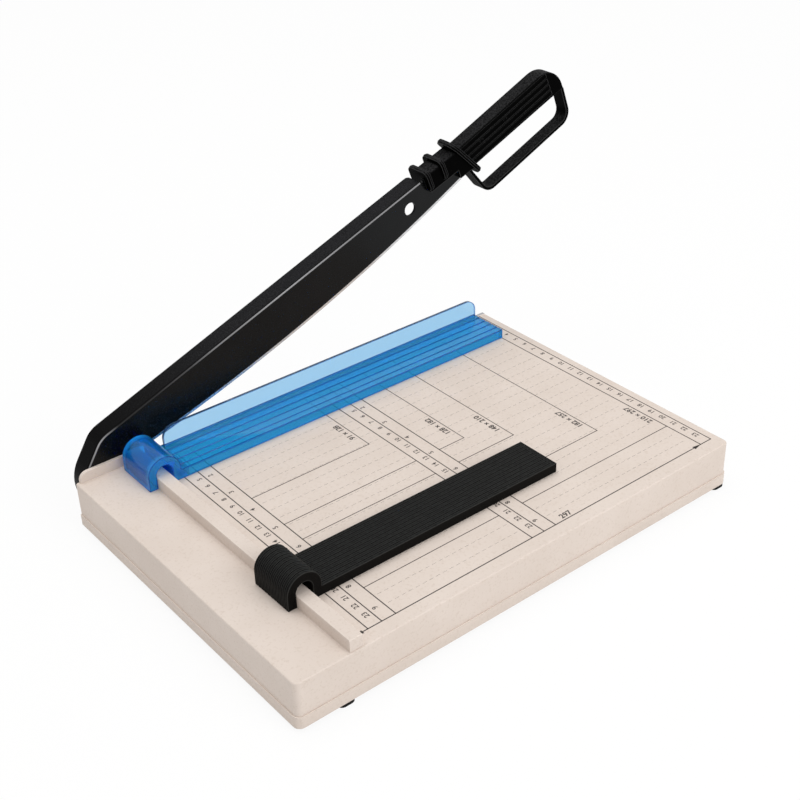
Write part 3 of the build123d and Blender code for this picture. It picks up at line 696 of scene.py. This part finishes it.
# Rulers, paper outlines and the line of the sheet's length, with an arrowhead at each end
lines = bmesh.new()
for along in left_ruler_lines + middle_ruler_lines + right_ruler_lines:
    ink_line(lines, deck_point(along, print_start), deck_point(along, front_line), ruler_line_width)
for length, width in paper_sizes:
    if length < right_ruler_lines[0]:
        ink_line(lines, deck_point(length, print_start), deck_point(length, width), size_line_width)
    first_end = min(length, middle_ruler_lines[0])
    ink_line(lines, deck_point(left_ruler_lines[-1], width), deck_point(first_end, width), size_line_width)
    if length > middle_ruler_lines[-1]:
        ink_line(lines, deck_point(middle_ruler_lines[-1], width), deck_point(length, width), size_line_width)
length_line_start = deck_point(arrow_left_tip + line_behind_tip, front_line)
length_line_end = deck_point(right_ruler_lines[-1], front_line)
ink_line(lines, length_line_start, length_line_end, ruler_line_width)
arrows = ((arrow_left_tip, 1, arrow_lengths[0]), (right_ruler_lines[0], -1, arrow_lengths[1]))
for tip, heading, length in arrows:
    tail = tip + heading * length
    corners = [
        deck_point(tip, front_line),
        deck_point(tail, front_line + heading * arrow_width / 2),
        deck_point(tail, front_line - heading * arrow_width / 2),
    ]
    ink_outline(lines, corners)
ink_piece("deck_print_lines", lines)

# Thin dashed guides across the deck, one for each centimetre that has no paper outline of its own
guides = bmesh.new()
solid_rows = [width for length, width in paper_sizes]
spans = ((left_ruler_lines[-1], middle_ruler_lines[0]), (middle_ruler_lines[-1], right_ruler_lines[0]))
for number in range(1, centimetre_count + 1):
    ahead = centimetre * number
    if ahead in solid_rows:
        continue
    for span_start, span_end in spans:
        dash_start = span_start + guide_margin
        while dash_start + guide_dash < span_end - guide_margin:
            dash_end = dash_start + guide_dash
            ink_line(guides, deck_point(dash_start, ahead), deck_point(dash_end, ahead), guide_line_width)
            dash_start += guide_pitch
ink_piece("deck_print_guides", guides)

# Figures of the rulers in centimetres and inches, and of the paper sizes in millimetres
figures = bmesh.new()
ruler_middles = (left_ruler_lines[1], middle_ruler_lines[1], right_ruler_lines[1])
for number in range(1, centimetre_count + 1):
    for middle, gap in zip(ruler_middles, centimetre_figure_gaps):
        place = deck_point(middle - gap, centimetre * number)
        ink_text(figures, str(number), place, digit_size, digit_growth, turned=True)
for number in range(1, inch_count + 1):
    for middle, gap in zip(ruler_middles, inch_figure_gaps):
        place = deck_point(middle + gap, inch * number)
        ink_text(figures, str(number), place, digit_size, digit_growth, turned=True)
for length, width in paper_sizes:
    place = deck_point(length - label_from_end, width - label_from_side)
    ink_text(figures, f"{width} × {length}", place, label_size, label_growth, turned=True)
place = deck_point(length_label_place, front_line - length_label_gap)
ink_text(figures, str(paper_sizes[-1][0]), place, label_size, label_growth, turned=False)
ink_piece("deck_print_figures", figures)


# Stage: a white floor that keeps the soft shadow, white surroundings and soft light
def shows_background(owner):
    """One for rays that see the background directly, in gloss or through glass, and none for the rest."""
    path = add(owner, "ShaderNodeLightPath")
    seen = path.outputs["Is Camera Ray"]
    for name in ("Is Glossy Ray", "Is Transmission Ray"):
        seen = maths(owner, "MAXIMUM", seen, path.outputs[name])
    return seen


world = bpy.data.worlds.new("studio")
world.use_nodes = True
bpy.context.scene.world = world
room_light = world.node_tree.nodes["Background"]
fill(world, room_light, Color=room_colour, Strength=room_strength)
backdrop = add(world, "ShaderNodeBackground", Color=white, Strength=white_strength)
surroundings = mix_shaders(world, shows_background(world), room_light.outputs[0], backdrop.outputs[0])
fill(world, world.node_tree.nodes["World Output"], Surface=surroundings)

floor_mesh = bpy.data.meshes.new("floor")
floor_corners = [(x * floor_half, y * floor_half, 0) for x, y in ((-1, -1), (1, -1), (1, 1), (-1, 1))]
floor_mesh.from_pydata(floor_corners, [], [(0, 1, 2, 3)])
floor = bpy.data.objects.new("floor", floor_mesh)
bpy.context.scene.collection.objects.link(floor)
floor_material, floor_shader = new_material("floor")
fill(
    floor_material,
    floor_shader,
    Base_Color=floor_colour,
    Roughness=floor_roughness,
    Specular_IOR_Level=0.0,
)
glow = add(floor_material, "ShaderNodeEmission", Color=white, Strength=white_strength)
share = maths(floor_material, "MULTIPLY", shows_background(floor_material), floor_white_share)
whitened = mix_shaders(floor_material, share, floor_shader.outputs[0], glow.outputs[0])
fill(floor_material, floor_material.node_tree.nodes["Material Output"], Surface=whitened)
floor_mesh.materials.append(floor_material)

# Square soft boxes that face the object
for name, place, size, power in lamps:
    lamp_data = bpy.data.lights.new(name, "AREA")
    lamp_data.size = size
    lamp_data.energy = power
    lamp = bpy.data.objects.new(name, lamp_data)
    lamp.location = place
    lamp.rotation_euler = (lamp_target - place).to_track_quat("-Z", "Y").to_euler()
    bpy.context.scene.collection.objects.link(lamp)

# Camera at the photograph's viewing angle
back = Vector((
    sin(camera_azimuth) * cos(camera_elevation),
    -cos(camera_azimuth) * cos(camera_elevation),
    sin(camera_elevation),
))
level_right = (-back).cross(Vector((0, 0, 1))).normalized()
level_up = level_right.cross(-back)
right = cos(camera_roll) * level_right + sin(camera_roll) * level_up
up = cos(camera_roll) * level_up - sin(camera_roll) * level_right
camera_data = bpy.data.cameras.new("camera")
camera_data.sensor_width = sensor_width
camera_data.lens = focal_pixels / picture_pixels * sensor_width
camera_data.shift_x = 0.5 - middle_pixel[0] / picture_pixels
camera_data.shift_y = middle_pixel[1] / picture_pixels - 0.5
camera_data.clip_start = camera_near
camera = bpy.data.objects.new("camera", camera_data)
camera.matrix_world = Matrix.Translation(camera_place) @ Matrix((right, up, back)).transposed().to_4x4()
bpy.context.scene.collection.objects.link(camera)
bpy.context.scene.camera = camera
bpy.context.scene.view_settings.view_transform = "Standard"
